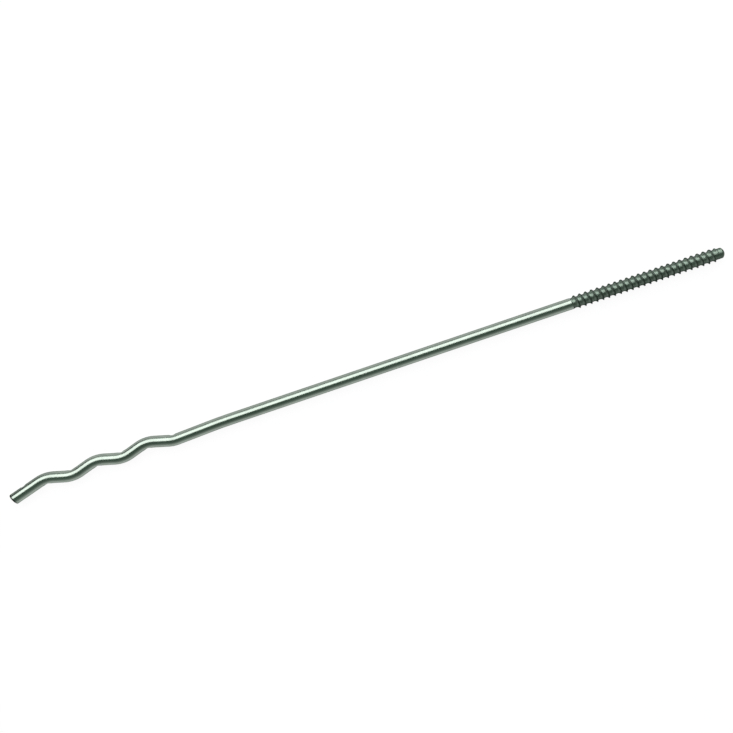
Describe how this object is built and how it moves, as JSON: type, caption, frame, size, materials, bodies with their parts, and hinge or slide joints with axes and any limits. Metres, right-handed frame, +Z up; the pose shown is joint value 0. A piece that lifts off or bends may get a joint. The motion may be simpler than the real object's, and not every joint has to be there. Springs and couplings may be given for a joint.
{
  "type": "masonry wall tie",
  "caption": "Round steel wire tie for cavity walls, with a coarse right-hand screw thread at one end for a wall plug and a pressed zigzag at the other for the mortar joint.",
  "frame": {"origin": "on the wire's axis where the threaded end begins, the plane of the wall face when the tie is screwed in", "axes": "+X along the thread towards its tip, +Y across the tie in the plane of the zigzag, +Z up, square to that plane, as the tie lies flat"},
  "size_m": [0.25, 0.0075, 0.0046],
  "materials": {
    "drawn_steel_wire": "bright drawn, duller on the rolled thread"
  },
  "bodies": {
    "root": {"wall_tie": "drawn_steel_wire"}
  },
  "joints": []
}
